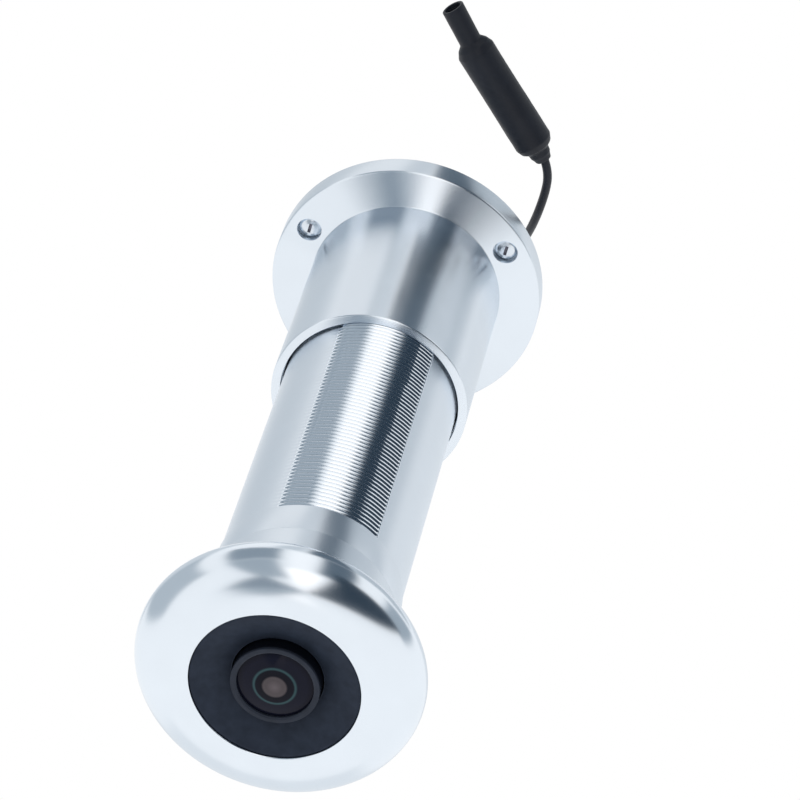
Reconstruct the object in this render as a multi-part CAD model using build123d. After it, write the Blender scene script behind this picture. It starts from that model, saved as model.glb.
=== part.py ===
from build123d import *
import math
import os

os.makedirs("parts", exist_ok=True)

# Sizes are in millimetres. The barrel's axis is Y and the lens looks along -Y. The origin is on
# that axis, in the plane where the head seats on the outside of the door. Angles round the axis
# start at +X and turn towards +Z.

# Door and travel
door_thickness = 80.3
thread_pitch = 0.75
turns_of_travel = 27

# Head outside the door
head_radius = 16.6
head_depth = 6.6
head_widest_depth = 2.9
face_round_width = 5.85
back_round_width = 8.8
back_round_depth = 4.1
hub_step = 0.25
hub_length = 8.6
hub_chamfer = 0.3
pocket_radius = 9.75
pocket_depth = 3.6
head_throat_radius = 7.8

# Threaded barrel
thread_radius = 11.0
relief_depth = 0.15
barrel_wall = 1.8
board_step = 0.9
spigot_depth = 1.0
spigot_reach = 0.6
collar_step = 0.05
collar_length = 4.9
thread_sector_width = 66.0
thread_sector_middle = -133.5
barrel_chamfer = 0.3
barrel_end_gap = 0.55

# Clamp sleeve and its flange
sleeve_wall = 1.2
sleeve_length = 26.9
mouth_step = 0.2
mouth_depth = 1.0
flange_radius = 17.4
flange_thickness = 3.4
flange_chamfer = 0.2
cover_recess_depth = 1.2

# Cover and its screws
cover_inset = 1.55
cover_thickness = 2.0
cover_chamfer = 0.4
screw_inset = 1.2
screw_angles = [-62.0, 58.0, 178.0]
screw_head_radius = 1.45
screw_head_height = 0.9
screw_shank_radius = 0.8
screw_length = 2.7
slot_length = 1.3
slot_turn = 45.0
slot_width = 0.4
slot_depth = 0.4
counterbore_radius = 1.6
counterbore_depth = 1.2

# Bush round the antenna's lead
bush_neck_radius = 2.25
bush_flange_radius = 3.1
bush_flange_thickness = 0.6
bush_nose_radius = 1.9
bush_nose_length = 0.6

# Bezel and its seal
bezel_rim_width = 0.3
bezel_sink = 0.2
dish_depth = 1.9
dish_floor_radius = 5.35
seal_width = 1.0
seal_thickness = 0.8
seal_edge = 0.4

# Lens
lens_radius = 5.08
lens_ring_width = 0.7
lens_ring_thickness = 0.4
lens_sink = 0.3
lens_length = 8.1
lens_rear_bore = 3.0
front_glass_margin = 0.25
front_glass_edge = 0.4
front_glass_bulge = 0.6
stop_radius = 2.4
stop_thickness = 0.8
rear_glass_place = 2.3
rear_glass_edge = 0.6
rear_glass_bulge = 0.5

# Lens holder, sensor and round board
holder_wall = 1.3
holder_front_gap = 3.2
holder_base_gap = 0.7
holder_base_height = 2.6
holder_floor = 0.5
holder_gap = 0.7
holder_window = 3.4
sensor_pocket = 9.4
filter_size = 7.4
filter_thickness = 0.3
sensor_size = 8.0
sensor_thickness = 0.9
round_board_thickness = 1.0
board_ring_thickness = 1.0

# Long board and what it carries
board_side_gap = 1.4
board_thickness = 1.0
board_end_gap = 5.3
plug_half_height = 0.5
plug_width = 2.6
plug_length = 3.0
socket_height = 0.4
plug_end_gap = 1.9
header_size = [10.0, 3.5, 2.0]
processor_size = [10.0, 10.0, 1.2]
processor_place = [0.0, 21.0]
memory_size = [6.0, 5.0, 0.8]
memory_place = [3.5, 31.5]
coil_size = [4.6, 4.6, 2.4]
coil_place = [-4.2, 31.5]
shield_size = [11.0, 11.0, 1.8]
shield_place = [0.0, 42.5]
cradle_length = 4.0
cradle_places = [20.0, 46.0]
cradle_notch = 5.0
cradle_web = 1.6

# Antenna and its lead
lead_radius = 0.565
lead_drop = 3.0
antenna_x = -23.6
antenna_y = 85.7
antenna_top = -6.9
antenna_lean = 1.2
neck_radius = 1.3
neck_length = 1.6
antenna_radius = 2.43
antenna_length = 18.2
shoulder_length = 1.1
tip_radius = 1.43
tip_length = 5.5
shrink_wall = 0.38
copper_wall = 0.3
copper_inset = 0.6
core_radius = 0.95
core_recess = 1.2

# Clearances
fit_clearance = 0.02
thread_clearance = 0.05
slide_clearance = 0.05
lens_clearance = 0.15
lead_clearance = 0.185

# Distances from the axis
barrel_bore = thread_radius - barrel_wall
barrel_throat = barrel_bore - board_step
spigot_radius = thread_radius - spigot_depth
relief_radius = thread_radius - relief_depth
collar_radius = thread_radius + collar_step
hub_radius = collar_radius + hub_step
sleeve_bore = thread_radius + thread_clearance
sleeve_radius = sleeve_bore + sleeve_wall
mouth_radius = sleeve_bore + mouth_step
cover_radius = flange_radius - cover_inset
screw_circle = cover_radius - screw_inset
holder_base_radius = barrel_throat - holder_base_gap
round_board_radius = barrel_bore - slide_clearance
board_width = 2 * (barrel_bore - board_side_gap)
lens_ring_bore = lens_radius - lens_ring_width
front_glass_radius = lens_ring_bore + front_glass_margin

# Places along the axis
head_face = -head_depth
pocket_floor = head_face + pocket_depth
spigot_front = -spigot_reach
thread_start = hub_length + collar_length
flange_face = door_thickness
flange_rear = flange_face + flange_thickness
sleeve_rim = flange_face - sleeve_length
cover_front = flange_rear - cover_recess_depth
cover_rear = cover_front + cover_thickness
sleeve_travel = thread_pitch * turns_of_travel
barrel_end = cover_front - sleeve_travel - barrel_end_gap
bezel_front = head_face + bezel_sink
dish_floor = bezel_front + dish_depth
lens_front = head_face + lens_sink
lens_shell_front = lens_front + lens_ring_thickness
lens_rear = lens_front + lens_length
glass_seat = lens_shell_front + front_glass_edge
holder_front = lens_front + holder_front_gap + holder_wall
holder_floor_front = lens_rear + holder_gap
sensor_pocket_floor = holder_floor_front + holder_floor
round_board_front = holder_floor_front + holder_base_height
round_board_rear = round_board_front + round_board_thickness
long_board_end = barrel_end - board_end_gap
long_board_top = -plug_half_height - socket_height
plug_rear = long_board_end - plug_end_gap
bush_rear = cover_rear + slide_clearance + bush_flange_thickness
lead_exit = bush_rear + bush_nose_length
antenna_shoulder = antenna_top - antenna_length
antenna_end = antenna_shoulder - tip_length

# The lead leaves the bush along the axis, turns over to the antenna's side behind the flange,
# passes the flange's edge and falls to the top of the antenna, in line with its slight lean.
drop_across = lead_drop * math.sin(math.radians(antenna_lean))
drop_height = lead_drop * math.cos(math.radians(antenna_lean))
lead_route = [
    (0.0, lead_exit, 0.0),
    (0.0, 93.1, 0.0),
    (-5.2, 96.8, 3.9),
    (-11.3, 94.0, 6.5),
    (-18.3, 87.8, 3.1),
    (-22.3, 86.0, -1.0),
    (antenna_x - drop_across, antenna_y, antenna_top + drop_height),
    (antenna_x, antenna_y, antenna_top),
]


def turned(*outline):
    """Solid turned about the Y axis from an outline of (radius, place) points."""
    return revolve(make_face(Polyline(*outline, close=True)), Axis.Y)


def ring(outer, inner, start, end):
    """Ring about the Y axis between two places along it."""
    return turned((inner, start), (outer, start), (outer, end), (inner, end))


def disc(radius, start, end, x=0.0, z=0.0):
    """Round plate or rod along Y between two places."""
    place = Pos(x, (start + end) / 2, z) * Rot(90, 0, 0)
    return place * Cylinder(radius, end - start)


def block(width, height, start, end, x=0.0, z=0.0):
    """Rectangular block along Y, centred on x and z."""
    return Pos(x, (start + end) / 2, z) * Box(width, end - start, height)


def on_board(size, place):
    """Component that stands on the long board, from its size and its x and y."""
    width, length, height = size
    x, y = place
    return Pos(x, y, long_board_top + height / 2) * Box(width, length, height)


def round_the_axis(angle, radius):
    """X and Z of a point at an angle and distance from the barrel's axis."""
    turn = math.radians(angle)
    return radius * math.cos(turn), radius * math.sin(turn)


def front_head():
    """Rounded head with its hub, the bezel's pocket and the bore for the barrel."""
    face_edge = head_radius - face_round_width
    widest = -head_widest_depth
    back_centre = head_radius - back_round_width
    share = head_widest_depth / back_round_depth
    seat_radius = back_centre + back_round_width * math.sqrt(1 - share**2)
    seat_angle = math.degrees(math.asin(share))
    front_depth = head_depth - head_widest_depth
    front_curve = EllipticalCenterArc((face_edge, widest), face_round_width, front_depth, 270, arc_size=90)
    back_curve = EllipticalCenterArc(
        (back_centre, widest), back_round_width, back_round_depth, 0, arc_size=seat_angle
    )
    bore = spigot_radius + fit_clearance
    rest = Polyline(
        (seat_radius, 0),
        (hub_radius, 0),
        (hub_radius, hub_length - hub_chamfer),
        (hub_radius - hub_chamfer, hub_length),
        (bore, hub_length),
        (bore, spigot_front),
        (head_throat_radius, spigot_front),
        (head_throat_radius, pocket_floor),
        (pocket_radius, pocket_floor),
        (pocket_radius, head_face),
        (face_edge, head_face),
    )
    head = revolve(make_face([front_curve, back_curve, rest]), Axis.Y)
    groove_outer = pocket_radius - seal_edge
    return head - ring(groove_outer, groove_outer - seal_width, pocket_floor, pocket_floor + seal_thickness)


def threaded_barrel():
    """Tube with a spigot in the head, a collar, and two raised sectors that carry the thread."""
    tube = turned(
        (barrel_throat, spigot_front),
        (spigot_radius, spigot_front),
        (spigot_radius, hub_length),
        (collar_radius, hub_length),
        (collar_radius, thread_start),
        (relief_radius, thread_start),
        (relief_radius, barrel_end),
        (barrel_bore, barrel_end),
        (barrel_bore, round_board_front),
        (barrel_throat, round_board_front),
    )
    middle_radius = (barrel_bore + relief_radius) / 2
    section = Polyline(
        (middle_radius, thread_start),
        (thread_radius, thread_start),
        (thread_radius, barrel_end - barrel_chamfer),
        (thread_radius - barrel_chamfer, barrel_end),
        (middle_radius, barrel_end),
        close=True,
    )
    sector = revolve(make_face(section), Axis.Y, thread_sector_width)
    first_edge = -thread_sector_middle - thread_sector_width / 2
    for turn in (first_edge, first_edge + 180):
        tube += Rot(0, turn, 0) * sector
    return tube


def clamp_sleeve():
    """Sleeve that screws over the barrel, with the flange that bears on the inside of the door."""
    recess = cover_radius + slide_clearance
    sleeve = turned(
        (mouth_radius, sleeve_rim),
        (sleeve_radius, sleeve_rim),
        (sleeve_radius, flange_face),
        (flange_radius - flange_chamfer, flange_face),
        (flange_radius, flange_face + flange_chamfer),
        (flange_radius, flange_rear - flange_chamfer),
        (flange_radius - flange_chamfer, flange_rear),
        (recess, flange_rear),
        (recess, cover_front),
        (sleeve_bore, cover_front),
        (sleeve_bore, sleeve_rim + mouth_depth),
        (mouth_radius, sleeve_rim + mouth_depth),
    )
    for angle in screw_angles:
        x, z = round_the_axis(angle, screw_circle)
        sleeve -= disc(counterbore_radius, flange_face, flange_face + counterbore_depth, x, z)
        sleeve -= disc(screw_shank_radius + slide_clearance, flange_face, cover_front, x, z)
    return sleeve


def rear_cover():
    """Round cover in the back of the flange, with the bush's hole and the screws' holes."""
    cover = turned(
        (bush_neck_radius + slide_clearance, cover_front),
        (cover_radius, cover_front),
        (cover_radius, cover_rear - cover_chamfer),
        (cover_radius - cover_chamfer, cover_rear),
        (bush_neck_radius + slide_clearance, cover_rear),
    )
    for angle in screw_angles:
        x, z = round_the_axis(angle, screw_circle)
        cover -= disc(screw_shank_radius + fit_clearance, cover_front, cover_rear, x, z)
    return cover


def cover_screw(angle):
    """Screw with a short slot, sunk in the flange's counterbore and driven into the cover."""
    x, z = round_the_axis(angle, screw_circle)
    seat = flange_face + counterbore_depth
    top = seat - screw_head_height
    screw = disc(screw_head_radius, top, seat, x, z)
    screw += disc(screw_shank_radius, seat, seat + screw_length, x, z)
    slot = block(slot_length, slot_width, top, top + slot_depth)
    return screw - Pos(x, 0, z) * Rot(0, -slot_turn, 0) * slot


def cable_bush():
    """Soft bush that stays still on the lead while the cover turns round its neck."""
    hole = lead_radius + lead_clearance
    front = cover_front - slide_clearance
    rear = cover_rear + slide_clearance
    return turned(
        (hole, front - bush_flange_thickness),
        (bush_flange_radius, front - bush_flange_thickness),
        (bush_flange_radius, front),
        (bush_neck_radius, front),
        (bush_neck_radius, rear),
        (bush_flange_radius, rear),
        (bush_flange_radius, bush_rear),
        (bush_nose_radius, bush_rear),
        (hole + lead_radius, lead_exit),
        (hole, lead_exit),
    )


def lens_bezel():
    """Dished black ring that fills the head's pocket round the lens."""
    outer = pocket_radius - slide_clearance
    bore = lens_radius + lens_clearance
    return turned(
        (bore, dish_floor),
        (dish_floor_radius, dish_floor),
        (outer - bezel_rim_width, bezel_front),
        (outer, bezel_front),
        (outer, pocket_floor),
        (bore, pocket_floor),
    )


def bezel_seal():
    """Rubber ring in the groove behind the bezel."""
    outer = pocket_radius - seal_edge
    return ring(outer, outer - seal_width, pocket_floor, pocket_floor + seal_thickness)


def lens_barrel():
    """Round lens body with the front glass's pocket, the stop and the rear bore."""
    pocket = front_glass_radius + slide_clearance
    return turned(
        (pocket, lens_shell_front),
        (lens_radius, lens_shell_front),
        (lens_radius, lens_rear),
        (lens_rear_bore, lens_rear),
        (lens_rear_bore, glass_seat + stop_thickness),
        (stop_radius, glass_seat + stop_thickness),
        (stop_radius, glass_seat),
        (pocket, glass_seat),
    )


def lens_ring():
    """Thin ring on the front of the lens body, which holds the front glass by its rim."""
    return ring(lens_radius, lens_ring_bore, lens_front, lens_shell_front)


def dome_radius(radius, bulge):
    """Radius of the sphere that rises by a bulge over a round edge."""
    return (radius**2 + bulge**2) / (2 * bulge)


def front_glass():
    """Domed front element: its flat rim lies under the ring and its dome stands in the ring's bore."""
    dome_edge = lens_ring_bore - slide_clearance
    apex = lens_shell_front - front_glass_bulge
    curve = dome_radius(dome_edge, front_glass_bulge)
    dome = disc(dome_edge, apex, lens_shell_front) & Pos(0, apex + curve, 0) * Sphere(curve)
    return disc(front_glass_radius, lens_shell_front, glass_seat) + dome


def rear_glass():
    """Rear element, held in the back of the lens body."""
    radius = lens_rear_bore - fit_clearance
    front = lens_rear - rear_glass_place
    apex = front + rear_glass_edge + rear_glass_bulge
    curve = dome_radius(radius, rear_glass_bulge)
    return disc(radius, front, apex) & Pos(0, apex - curve, 0) * Sphere(curve)


def lens_holder():
    """Holder that the lens screws into, with its base and the sensor's pocket."""
    bore = lens_radius + slide_clearance
    holder = turned(
        (bore, holder_front),
        (bore + holder_wall, holder_front),
        (bore + holder_wall, holder_floor_front),
        (holder_base_radius, holder_floor_front),
        (holder_base_radius, round_board_front),
        (holder_window, round_board_front),
        (holder_window, holder_floor_front),
        (bore, holder_floor_front),
    )
    return holder - block(sensor_pocket, sensor_pocket, sensor_pocket_floor, round_board_front)


def board_cradle(place):
    """Saddle that fills the space between the long board and the wall of the barrel."""
    underside = long_board_top - board_thickness
    start = place - cradle_length / 2
    end = place + cradle_length / 2
    radius = barrel_bore - slide_clearance
    saddle = disc(radius, start, end)
    saddle -= block(2 * barrel_bore, barrel_bore, start, end, z=underside + barrel_bore / 2)
    saddle -= block(2 * barrel_bore, barrel_bore, start, end, z=underside + 3 * barrel_bore / 2)
    notch_depth = underside + radius - cradle_web
    return saddle - block(cradle_notch, 2 * notch_depth, start, end, z=underside)


def lead_bends(points):
    """Radius of the arc at each corner of a route."""
    radii = []
    for before, corner, after in zip(points, points[1:], points[2:]):
        arriving = Vector(*corner) - Vector(*before)
        leaving = Vector(*after) - Vector(*corner)
        turn = math.radians(arriving.get_angle(leaving))
        radii.append(0.45 * min(arriving.length, leaving.length) / math.tan(turn / 2))
    return radii


def antenna_lead():
    """Free stretch of the lead, from the bush's nose to the top of the antenna."""
    radii = lead_bends(lead_route)
    print("lead bend radii", [round(radius, 2) for radius in radii])
    path = FilletPolyline(*lead_route, radius=radii)
    print("lead length", round(path.length, 2))
    return sweep(Plane(origin=path @ 0, z_dir=path % 0) * Circle(lead_radius), path=path)


def hanging(*outline):
    """Solid turned about the antenna's leaning axis from an outline of (radius, height) points."""
    profile = [Vector(radius, 0, height) for radius, height in outline]
    face = make_face(Polyline(*profile, close=True))
    place = Pos(antenna_x, antenna_y, antenna_top) * Rot(0, -antenna_lean, 0) * Pos(0, 0, -antenna_top)
    return place * revolve(face, Axis.Z)


def antenna_shrink():
    """Shrunk cover of the antenna: a short neck on the lead, a thick body and a thin open tip."""
    inner = antenna_radius - shrink_wall
    tip_inner = tip_radius - shrink_wall
    return hanging(
        (lead_radius + fit_clearance, antenna_top),
        (neck_radius, antenna_top),
        (neck_radius, antenna_top - neck_length),
        (antenna_radius, antenna_top - neck_length - shoulder_length),
        (antenna_radius, antenna_shoulder + shoulder_length),
        (tip_radius, antenna_shoulder),
        (tip_radius, antenna_end),
        (tip_inner, antenna_end),
        (tip_inner, antenna_shoulder),
        (inner, antenna_shoulder + shoulder_length),
        (inner, antenna_top - neck_length - shoulder_length),
        (lead_radius + fit_clearance, antenna_top - neck_length),
    )


def antenna_tube():
    """Metal tube inside the thick part of the antenna."""
    outer = antenna_radius - shrink_wall - fit_clearance
    top = antenna_top - neck_length - shoulder_length - copper_inset
    bottom = antenna_shoulder + shoulder_length + copper_inset
    return hanging((outer - copper_wall, top), (outer, top), (outer, bottom), (outer - copper_wall, bottom))


def antenna_core():
    """Wire down the middle of the antenna, in its insulation from the shoulder to near the open tip."""
    bottom = antenna_end + core_recess
    return hanging(
        (0, antenna_top),
        (lead_radius, antenna_top),
        (lead_radius, antenna_shoulder + shoulder_length),
        (core_radius, antenna_shoulder + shoulder_length),
        (core_radius, bottom),
        (0, bottom),
    )


def camera_module():
    """Lens holder, filter, sensor, boards and their components, by node name."""
    header_middle = round_board_rear + header_size[1] / 2
    underside = long_board_top - board_thickness
    board_middle = (long_board_top + underside) / 2
    socket_middle = plug_rear - plug_length / 2
    ring_front = round_board_rear
    plug_start = plug_rear - plug_length
    return {
        "lens_holder": lens_holder(),
        "infrared_filter": block(
            filter_size, filter_size, sensor_pocket_floor, sensor_pocket_floor + filter_thickness
        ),
        "image_sensor": block(
            sensor_size, sensor_size, round_board_front - sensor_thickness, round_board_front
        ),
        "sensor_board": disc(round_board_radius, round_board_front, round_board_rear),
        "board_ring": ring(round_board_radius, barrel_throat, ring_front, ring_front + board_ring_thickness),
        "main_board": block(board_width, board_thickness, round_board_rear, long_board_end, z=board_middle),
        "board_header": on_board(header_size, [0.0, header_middle]),
        "processor": on_board(processor_size, processor_place),
        "flash_memory": on_board(memory_size, memory_place),
        "power_coil": on_board(coil_size, coil_place),
        "radio_shield": on_board(shield_size, shield_place),
        "antenna_socket": on_board([plug_width, plug_width, socket_height], [0.0, socket_middle]),
        "lead_plug": block(plug_width, 2 * plug_half_height, plug_start, plug_rear),
        "lead_inside": disc(lead_radius, plug_rear, lead_exit),
    }


parts = {
    "front_head": front_head(),
    "threaded_barrel": threaded_barrel(),
    "lens_bezel": lens_bezel(),
    "bezel_seal": bezel_seal(),
    "lens_barrel": lens_barrel(),
    "lens_ring": lens_ring(),
    "front_glass": front_glass(),
    "rear_glass": rear_glass(),
    "clamp_sleeve": clamp_sleeve(),
    "rear_cover": rear_cover(),
    "cable_bush": cable_bush(),
    "antenna_lead": antenna_lead(),
    "antenna_shrink": antenna_shrink(),
    "antenna_tube": antenna_tube(),
    "antenna_core": antenna_core(),
}
parts.update(camera_module())
for number, angle in enumerate(screw_angles, 1):
    parts[f"cover_screw_{number}"] = cover_screw(angle)
for number, place in enumerate(cradle_places, 1):
    parts[f"board_cradle_{number}"] = board_cradle(place)

for name, shape in parts.items():
    export_step(shape, f"parts/{name}.step")
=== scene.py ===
"""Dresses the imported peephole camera: turned metal, thread, dished lens, screws, lead and antenna."""

import math

import bmesh
import bpy
from bpy.props import FloatProperty, FloatVectorProperty, PointerProperty
from bpy.types import NodeSocket, Operator, Panel, PropertyGroup
from mathutils import Matrix, Vector, noise


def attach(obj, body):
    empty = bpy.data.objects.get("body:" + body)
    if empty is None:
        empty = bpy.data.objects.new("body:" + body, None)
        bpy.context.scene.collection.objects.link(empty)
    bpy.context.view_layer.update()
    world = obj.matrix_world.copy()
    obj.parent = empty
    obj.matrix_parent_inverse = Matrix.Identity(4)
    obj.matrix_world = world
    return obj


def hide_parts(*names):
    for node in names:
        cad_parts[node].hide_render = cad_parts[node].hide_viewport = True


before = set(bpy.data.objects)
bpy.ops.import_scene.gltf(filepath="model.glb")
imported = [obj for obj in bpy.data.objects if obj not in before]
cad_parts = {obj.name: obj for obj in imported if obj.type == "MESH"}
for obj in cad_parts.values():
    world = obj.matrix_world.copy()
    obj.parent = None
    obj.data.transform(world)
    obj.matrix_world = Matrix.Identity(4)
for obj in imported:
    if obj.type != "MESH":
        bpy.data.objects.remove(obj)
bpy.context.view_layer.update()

bl_info = {
    "name": "Door Peephole Camera",
    "version": (1, 0, 0),
    "blender": (4, 5, 0),
    "location": "3D View > Sidebar > Peephole",
    "description": "Makes the visible pieces of a door peephole camera over its packed solids",
    "category": "Object",
}

MM = 0.001


def size(name, words, default):
    """Length setting, written in millimetres and kept in metres."""
    return FloatProperty(name=name, description=words, default=default * MM, unit="LENGTH", precision=5)


def angle(name, words, default):
    """Angle setting, written in degrees and kept in radians."""
    return FloatProperty(name=name, description=words, default=math.radians(default), subtype="ANGLE")


def tint(name, words, default):
    """Colour setting."""
    return FloatVectorProperty(
        name=name, description=words, default=default, subtype="COLOR", size=3, min=0.0, max=1.0
    )


def triple(name, words, default):
    """Place or direction setting."""
    return FloatVectorProperty(name=name, description=words, default=default, size=3)


class PeepholeFinish(PropertyGroup):
    """Colours of the finishes."""

    aluminium: tint("Aluminium", "Cool silver of the turned parts", (0.82, 0.885, 0.955))
    bezel: tint("Bezel", "Blue-black of the dished ring round the lens", (0.024, 0.032, 0.05))
    lens_body: tint("Lens body", "Black of the lens", (0.003, 0.004, 0.008))
    lens_rim: tint("Lens rim", "Grey of the ring on the lens body's front", (0.024, 0.03, 0.045))
    lens_edge: tint("Lens edge", "Teal ring round the pupil", (0.035, 0.075, 0.085))
    # the pupil's pink-grey is partly a painted reflection of the lens's inner glass
    pupil: tint("Pupil", "Dull pink-grey deep in the lens", (0.085, 0.072, 0.078))
    glass: tint("Front glass", "Deep blue of the coated front glass", (0.008, 0.009, 0.02))
    sleeve_black: tint("Lead and antenna", "Black of the lead and the shrunk cover", (0.009, 0.012, 0.02))


class PeepholeHead(PropertyGroup):
    """Sizes of the outer head."""

    radius: size("Radius", "Widest radius of the head", 16.6)
    depth: size("Depth", "How far the head stands out from the door", 6.6)
    widest: size("Widest place", "Depth at which the head is widest", 2.9)
    face_round: size("Face round", "Width of the round between the face and the side", 5.85)
    back_width: size("Back round width", "Width of the round behind the widest place", 8.8)
    back_depth: size("Back round depth", "Depth of the round behind the widest place", 4.1)
    hub: size("Hub radius", "Radius of the hub behind the head", 11.3)
    hub_length: size("Hub length", "How far the hub reaches into the door", 8.6)
    pocket: size("Pocket radius", "Radius of the bezel's pocket", 9.75)
    pocket_depth: size("Pocket depth", "Depth of the bezel's pocket", 3.6)
    throat: size("Throat radius", "Hole behind the pocket", 7.8)
    bore: size("Bore radius", "Bore for the barrel's spigot", 10.02)


class PeepholeBarrel(PropertyGroup):
    """Sizes of the threaded barrel."""

    spigot: size("Spigot radius", "Radius of the end that sits in the head", 10.0)
    collar: size("Collar radius", "Radius of the plain collar", 11.05)
    thread_start: size("Thread start", "Y where the thread starts", 13.5)
    end: size("Barrel end", "Y where the barrel ends", 61.7)
    crest: size("Crest radius", "Outer radius of the thread", 11.0)
    root: size("Root radius", "Radius at the bottom of the thread", 10.52)
    relief: size("Relief radius", "Radius of the plain strips between the threaded sectors", 10.85)
    pitch: size("Pitch", "Distance between two turns of the thread", 0.75)
    bore: size("Bore radius", "Inside radius behind the round board", 9.2)
    sector: angle("Sector width", "Width of each threaded sector", 66.0)
    middle: angle("Sector middle", "Direction of the middle of the front sector", -134.5)


class PeepholeSleeve(PropertyGroup):
    """Sizes of the clamp sleeve with its flange, cover and screws."""

    rim: size("Rim", "Y where the sleeve starts", 53.4)
    radius: size("Radius", "Outer radius of the sleeve", 12.25)
    bore: size("Bore radius", "Inside radius of the sleeve", 11.05)
    mouth: size("Mouth radius", "Radius of the counterbored mouth", 11.12)
    mouth_depth: size("Mouth depth", "Depth of the counterbored mouth", 1.0)
    flange: size("Flange radius", "Outer radius of the flange", 17.4)
    flange_face: size("Flange face", "Y of the flange's front face", 80.3)
    flange_rear: size("Flange rear", "Y of the flange's rear face", 83.7)
    cover_front: size("Cover front", "Y of the cover's front face", 82.5)
    cover_rear: size("Cover rear", "Y of the cover's rear face", 84.5)
    cover: size("Cover radius", "Radius of the rear cover", 15.85)
    screw_circle: size("Screw circle", "Distance of the screws from the axis", 14.65)
    screw_head: size("Screw head radius", "Radius of a screw's head", 1.45)
    slot_length: size("Slot length", "Length of a screw's slot", 1.3)
    slot_width: size("Slot width", "Width of a screw's slot", 0.4)
    slot_turn: angle("Slot turn", "Direction of the screws' slots round the axis", 45.0)
    counterbore: size("Counterbore radius", "Radius of the hole round a screw's head", 1.6)
    counterbore_depth: size("Counterbore depth", "Depth of the hole round a screw's head", 1.2)


class PeepholeLens(PropertyGroup):
    """Sizes of the bezel and the lens."""

    bezel: size("Bezel radius", "Outer radius of the dished bezel", 9.7)
    bezel_front: size("Bezel front", "Y of the bezel's rim", -6.4)
    dish_floor: size("Dish floor", "Y of the dish's floor", -4.5)
    dish_radius: size("Dish floor radius", "Outer radius of the dish's floor", 5.35)
    body: size("Lens radius", "Outer radius of the lens body", 5.08)
    front: size("Lens front", "Y of the lens body's front", -6.3)
    rear: size("Lens rear", "Y of the lens body's rear", 1.8)
    ring_bore: size("Ring bore", "Bore of the thin ring on the lens body", 4.38)
    shell: size("Shell front", "Y of the front of the lens body's shell", -5.9)
    seat: size("Glass seat", "Y of the front element's flat rear", -5.5)
    glass: size("Glass radius", "Radius of the front element's rim", 4.63)
    bulge: size("Glass bulge", "How far the front element's dome rises over its rim", 0.6)
    stop: size("Stop radius", "Radius of the hole behind the front element", 2.4)
    stop_depth: size("Stop depth", "Thickness of the stop behind the front element", 0.8)


class PeepholeAntenna(PropertyGroup):
    """Sizes of the antenna and its lead."""

    lead: size("Lead radius", "Radius of the antenna's lead", 0.565)
    exit: size("Lead exit", "Y where the lead leaves its bush", 85.75)
    across: size("Antenna across", "Place of the antenna's top across the door", -23.6)
    along: size("Antenna along", "Place of the antenna along the axis", 85.7)
    top: size("Antenna top", "Height of the top of the antenna's neck", -6.9)
    neck: size("Neck radius", "Radius of the shrunk neck", 1.3)
    neck_length: size("Neck length", "Length of the shrunk neck", 1.6)
    radius: size("Antenna radius", "Radius of the thick part", 2.43)
    length: size("Antenna length", "Distance from the top to the thick part's end", 18.2)
    tip: size("Tip radius", "Radius of the thin open tip", 1.43)
    tip_length: size("Tip length", "Length of the thin open tip", 5.5)
    lean: angle("Lean", "How far the antenna hangs out of line", 1.2)
    tilt: angle("Tip tilt", "How much further the thin tip leans", 4.0)


class PeepholeStage(PropertyGroup):
    """Camera, floor and light."""

    place: triple("Camera place", "Where the camera stands", (-0.19556, -0.35519, -0.19191))
    look: triple("Camera look", "Direction in which the camera looks", (0.39077, 0.83198, 0.39384))
    up: triple("Camera up", "Direction that is up in the picture", (-0.34442, 0.52893, -0.77563))
    lens: FloatProperty(name="Lens", description="Focal length in millimetres", default=180.0)
    floor: size("Floor height", "Height of the floor under the camera", -260.0)


# Shapes

on_axis = 1e-7  # a point nearer to the axis than this is on it
flat_corner = math.radians(86)  # half of a corner that is too flat to round
crease = 32.0  # degrees from which an edge is shaded sharp


def eased(outline, ease, steps=4):
    """Outline with each corner rounded to its point's third value or the common one, in millimetres."""
    points = []
    count = len(outline)
    for index, point in enumerate(outline):
        here = Vector(point[:2])
        radius = (point[2] if len(point) > 2 else ease) * MM
        before = Vector(outline[index - 1][:2]) - here
        after = Vector(outline[(index + 1) % count][:2]) - here
        if radius <= 0 or here.x < on_axis or before.angle(after) / 2 > flat_corner:
            points.append(here)
            continue
        half = before.angle(after) / 2
        reach = min(radius / math.tan(half), 0.45 * before.length, 0.45 * after.length)
        start = here + before.normalized() * reach
        end = here + after.normalized() * reach
        for step in range(steps + 1):
            share = step / steps
            points.append(start * (1 - share) ** 2 + here * 2 * share * (1 - share) + end * share**2)
    return points


def quarter(centre, width, height, start, end, steps):
    """Points of an elliptical arc, by angles in degrees."""
    points = []
    for step in range(steps + 1):
        turn = math.radians(start + (end - start) * step / steps)
        points.append((centre[0] + width * math.cos(turn), centre[1] + height * math.sin(turn)))
    return points


def smooth(mesh, sharp):
    """Shades a mesh smooth but for its sharp edges."""
    mesh.shade_smooth()
    mesh.set_sharp_from_angle(angle=math.radians(sharp))


def new_piece(name, shape, sharp):
    """Object of a finished shape, which is used up."""
    bmesh.ops.recalc_face_normals(shape, faces=shape.faces)
    mesh = bpy.data.meshes.new(name)
    shape.to_mesh(mesh)
    shape.free()
    smooth(mesh, sharp)
    piece = bpy.data.objects.new(name, mesh)
    bpy.context.collection.objects.link(piece)
    return piece


def ring_at(shape, place, corners):
    """Ring of points at a place along the axis, from each one's angle and radius."""
    ring = []
    for turn, radius in corners:
        x, z = round_the_axis(turn, radius)
        ring.append(shape.verts.new((x, place, z)))
    return ring


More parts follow.
